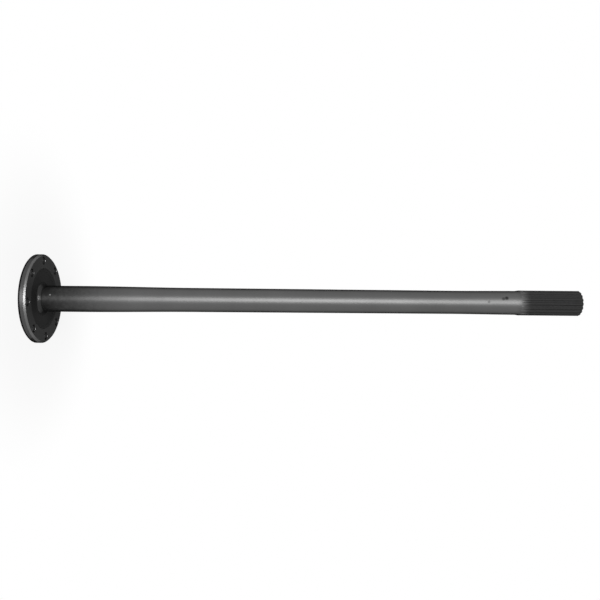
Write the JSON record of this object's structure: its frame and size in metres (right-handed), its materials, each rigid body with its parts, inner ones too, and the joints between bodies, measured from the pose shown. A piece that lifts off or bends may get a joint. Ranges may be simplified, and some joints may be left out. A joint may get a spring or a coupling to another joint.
{
  "type": "axle shaft",
  "caption": "Flanged truck axle shaft: a dished bolting flange at one end, a waisted forged shaft, and an involute spline at the other.",
  "frame": {"origin": "centre of the flange's outboard face, which the shaft stands on", "axes": "+Z along the shaft from the flange to the splined end, +X through the first bolt hole"},
  "size_m": [0.165, 0.165, 1.006],
  "materials": {
    "blackened_steel": "satin"
  },
  "bodies": {
    "root": {"axle_shaft": "blackened_steel"}
  },
  "joints": []
}
